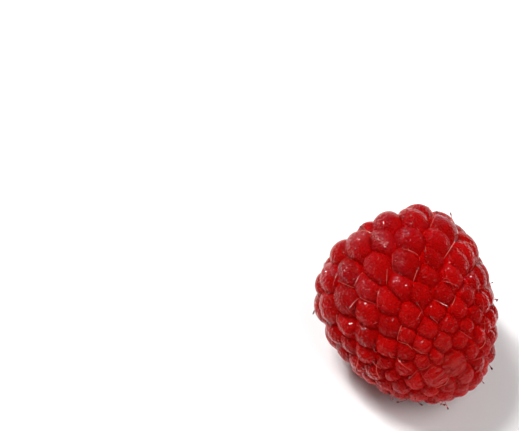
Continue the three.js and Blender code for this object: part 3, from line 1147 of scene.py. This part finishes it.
@dataclass(frozen=True)
class SkinFinish:
    """Moist red fruit skin: translucent and glossy, more deeply red in the hollow, with a painted glow in the
    creases.
    """

    ripe: Colour = (0.265, 0.001, 0.001, 1)
    light: Colour = (0.43, 0.0015, 0.0015, 1)
    # painted glow: a brighter red in the creases, standing in for light that comes through the flesh there
    crease_glow: Colour = (0.50, 0.0005, 0.001, 1)
    inner: Colour = (0.90, 0.015, 0.015, 1)
    # a lighter, pinker red on the ridges of the folds round the join of the twins
    ridge_tint: Colour = (0.50, 0.06, 0.05, 1)
    ridge_tinting: float = 0.5  # how far the ridges of the folds go over to the lighter, pinker colour
    mottle: float = 1.6  # size of the lumps of lighter red
    mottle_detail: float = 2.0
    roughness: float = 0.05
    ior: float = 1.38
    specular: float = 0.14
    scatter: float = 2.1  # how far red light goes under the skin
    scatter_shares: tuple[float, float, float] = (1.0, 0.2, 0.12)  # the same for red, green and blue
    grain: float = 0.32  # size of the lumps that break up the glints
    grain_detail: float = 0.2
    grain_height: float = 0.25
    wrinkle: tuple[float, float, float] = (2.4, 0.32, 0.32)  # size of the folds' streaks
    wrinkle_turn: float = -0.42
    wrinkle_detail: float = 1.0
    ridge: Span = (0.45, 0.65)  # noise between which a ridge rises

    def build(self) -> bpy.types.Material:
        """Makes the material.

        Returns:
            The material.
        """
        n = Nodes("Raspberry_skin")
        shader = n.shader
        wrinkles = self.wrinkles(n)
        n.feed(shader, "Base Color", self.colour(n, wrinkles))
        n.feed(shader, "Roughness", self.roughness)
        n.feed(shader, "IOR", self.ior)
        n.feed(shader, "Specular IOR Level", self.specular)
        n.feed(shader, "Subsurface Weight", 1.0)
        n.feed(shader, "Subsurface Radius", self.scatter_shares)
        n.feed(shader, "Subsurface Scale", self.scatter * MM)
        height = n.math("ADD", wrinkles, n.noise(self.grain, self.grain_detail))
        relief = {"Strength": 1.0, "Distance": self.grain_height * MM, "Height": height}
        n.feed(shader, "Normal", n.add("ShaderNodeBump", relief).outputs[0])
        return n.material

    def wrinkles(self, n: Nodes) -> bpy.types.NodeSocket:
        """Ridges of the shrivelled skin round the join of the twins, from noise stretched one way.

        Args:
            n: the material's nodes.

        Returns:
            Their height, from 0 to 1.
        """
        size = tuple(side * MM for side in self.wrinkle)
        along = {"Vector": n.where(), "Rotation": (0, self.wrinkle_turn, 0), "Scale": size}
        stretched = n.add("ShaderNodeMapping", along, vector_type="TEXTURE").outputs[0]
        inputs = {"Vector": stretched, "Scale": 1.0, "Detail": self.wrinkle_detail}
        streaks = n.add("ShaderNodeTexNoise", inputs).outputs["Fac"]
        low, high = self.ridge
        ridges = n.add("ShaderNodeMapRange", {"Value": streaks, "From Min": low, "From Max": high}).outputs[0]
        return n.math("MULTIPLY", n.attribute("fold"), ridges)

    def colour(self, n: Nodes, wrinkles: bpy.types.NodeSocket) -> bpy.types.NodeSocket:
        """Ripe red with lighter lumps, a painted glow in the creases, deeper in the hollow, pinker on the
        ridges.

        Args:
            n: the material's nodes.
            wrinkles: height of the ridges.

        Returns:
            The colour.
        """
        lighter = n.math("MULTIPLY", n.tone(), n.noise(self.mottle, self.mottle_detail))
        ripe = n.blend(lighter, self.ripe, self.light)
        # painted glow of brighter red in the creases
        outside = n.blend(n.attribute("crease"), ripe, self.crease_glow)
        # lighter and pinker on the ridges of the folds
        outside = n.blend(n.math("MULTIPLY", wrinkles, self.ridge_tinting), outside, self.ridge_tint)
        return n.blend(n.attribute("hollow"), outside, self.inner)


@dataclass(frozen=True)
class StyleFinish:
    """Dried styles: some pale, most red, and brown at a swollen tip."""

    pale: Colour = (0.95, 0.26, 0.19, 1)
    red: Colour = (0.50, 0.015, 0.015, 1)
    brown: Colour = (0.15, 0.02, 0.018, 1)
    tone_power: float = 0.3  # below 1, so that more are red than pale
    roughness: float = 0.25
    specular: float = 0.25

    def build(self) -> bpy.types.Material:
        """Makes the material.

        Returns:
            The material.
        """
        n = Nodes("Raspberry_styles")
        shaft = n.blend(n.math("POWER", n.tone(), self.tone_power), self.pale, self.red)
        n.feed(n.shader, "Base Color", n.blend(n.attribute("dark"), shaft, self.brown))
        n.feed(n.shader, "Roughness", self.roughness)
        n.feed(n.shader, "Specular IOR Level", self.specular)
        return n.material


@dataclass(frozen=True)
class DownFinish:
    """Fine reddish hairs that let some light through."""

    colour: Colour = (0.85, 0.12, 0.10, 1)
    roughness: float = 0.5
    scatter_share: float = 0.3
    scatter: float = 0.2

    def build(self) -> bpy.types.Material:
        """Makes the material.

        Returns:
            The material.
        """
        n = Nodes("Raspberry_down")
        n.feed(n.shader, "Base Color", self.colour)
        n.feed(n.shader, "Roughness", self.roughness)
        n.feed(n.shader, "Subsurface Weight", self.scatter_share)
        n.feed(n.shader, "Subsurface Scale", self.scatter * MM)
        return n.material


# ---- Studio ----------------------------------------------------------------------------------------------


def direction(azimuth: float, elevation: float) -> Array:
    """The direction from the berry, at degrees round it from the front and degrees above the floor."""
    a, e = math.radians(azimuth), math.radians(elevation)
    return np.array([math.sin(a) * math.cos(e), -math.cos(a) * math.cos(e), math.sin(e)])


class Lights(Enum):
    """What a lamp lights."""

    SHADES = "the shades of the skin and the floor, with no reflection of the lamp"
    GLINTS = "only what shines"


@dataclass(frozen=True)
class Lamp:
    """A square soft lamp that faces the berry."""

    name: str
    lights: Lights
    azimuth: float
    elevation: float
    side: float  # metres
    distance: float  # metres
    power: float  # watts

    def build(self) -> None:
        """Makes the lamp, and hides it from the rays that don't need it."""
        data = bpy.data.lights.new(self.name, "AREA")
        data.size = self.side
        data.energy = self.power
        lamp = bpy.data.objects.new(self.name, data)
        back = Vector(direction(self.azimuth, self.elevation))
        lamp.location = back * self.distance
        lamp.rotation_mode = "QUATERNION"
        lamp.rotation_quaternion = (-back).to_track_quat("-Z", "Y")
        lamp.visible_glossy = self.lights is Lights.GLINTS
        lamp.visible_diffuse = self.lights is Lights.SHADES
        bpy.context.scene.collection.objects.link(lamp)


@dataclass
class Studio:
    """A plain pale floor, soft light and the camera."""

    azimuth: float = -25.0
    elevation: float = 44.0
    distance: float = 350.0  # millimetres, as the sensor's side
    frame_pixels: tuple[int, int] = (519, 431)
    berry_pixel: Span = (414.5, 308.5)  # where the middle of the berry's box falls
    pixels_per_mm: float = 7.65
    sensor: float = 36.0
    nearest: float = 0.01  # metres from the camera where it begins to see
    floor_side: float = 3.0  # metres
    floor_colour: Colour = (0.9, 0.9, 0.9, 1)
    floor_roughness: float = 0.6
    surround_colour: Colour = (1, 1, 1, 1)
    surround_strength: float = 0.12
    lamps: tuple[Lamp, ...] = (
        Lamp("Key", Lights.SHADES, azimuth=-135, elevation=66, side=0.25, distance=0.7, power=4.5),
        Lamp("Glint", Lights.GLINTS, azimuth=-152, elevation=57, side=0.05, distance=0.7, power=22.0),
        Lamp("Fill", Lights.SHADES, azimuth=20, elevation=46, side=0.9, distance=1.2, power=10.4),
    )

    def camera(self) -> None:
        """Aims the camera so that the middle of the berry's box falls on its pixel."""
        a = math.radians(self.azimuth)
        back = direction(self.azimuth, self.elevation)
        right = np.array([math.cos(a), math.sin(a), 0.0])
        up = np.cross(back, right)
        low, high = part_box(NODE)
        middle = (np.array(low) + np.array(high)) / 2
        across = (self.berry_pixel[0] - self.frame_pixels[0] / 2) / self.pixels_per_mm * MM
        down = (self.berry_pixel[1] - self.frame_pixels[1] / 2) / self.pixels_per_mm * MM
        aim = middle - right * across + up * down
        data = bpy.data.cameras.new("Camera")
        data.sensor_width = self.sensor
        data.lens = self.sensor * self.distance * self.pixels_per_mm / self.frame_pixels[0]
        data.clip_start = self.nearest
        camera = bpy.data.objects.new("Camera", data)
        camera.location = aim + back * self.distance * MM
        camera.rotation_mode = "QUATERNION"
        camera.rotation_quaternion = Vector(-back).to_track_quat("-Z", "Y")
        bpy.context.scene.collection.objects.link(camera)
        bpy.context.scene.camera = camera

    def floor(self) -> None:
        """A large matt white floor at the height the berry lies on."""
        half = self.floor_side / 2 / MM
        corners = np.array([[-half, -half, 0], [half, -half, 0], [half, half, 0], [-half, half, 0.0]])
        n = Nodes("Floor")
        n.feed(n.shader, "Base Color", self.floor_colour)
        n.feed(n.shader, "Roughness", self.floor_roughness)
        floor = make_mesh("Floor", corners, [np.array([[0, 1, 2, 3]])], n.material)

    def surround(self) -> None:
        """A dim even white surround, and plain colours in the render."""
        world = bpy.data.worlds.new("Surround")
        world.use_nodes = True
        background = world.node_tree.nodes["Background"]
        background.inputs["Color"].default_value = self.surround_colour
        background.inputs["Strength"].default_value = self.surround_strength
        bpy.context.scene.world = world
        bpy.context.scene.view_settings.view_transform = "Standard"

    def build(self) -> None:
        """Sets up the floor, the lamps, the surround and the camera."""
        self.floor()
        for lamp in self.lamps:
            lamp.build()
        self.surround()
        self.camera()


def main() -> None:
    """Builds the berry and its studio in order, and reports each piece."""
    logging.basicConfig(level=logging.INFO, format="%(name)s: %(message)s")
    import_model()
    form = BerryForm()
    log.info("%d drupelets and ribs", len(form.cells.place))
    skin = Skin(form).build(SkinFinish())
    styles = Styles(form).build(StyleFinish())
    down = Down(form).build(DownFinish())
    for piece in (skin, styles, down):
        log.info("%s: %d faces", piece.name, len(piece.data.polygons))
    Studio().build()


if __name__ == "__main__":
    main()
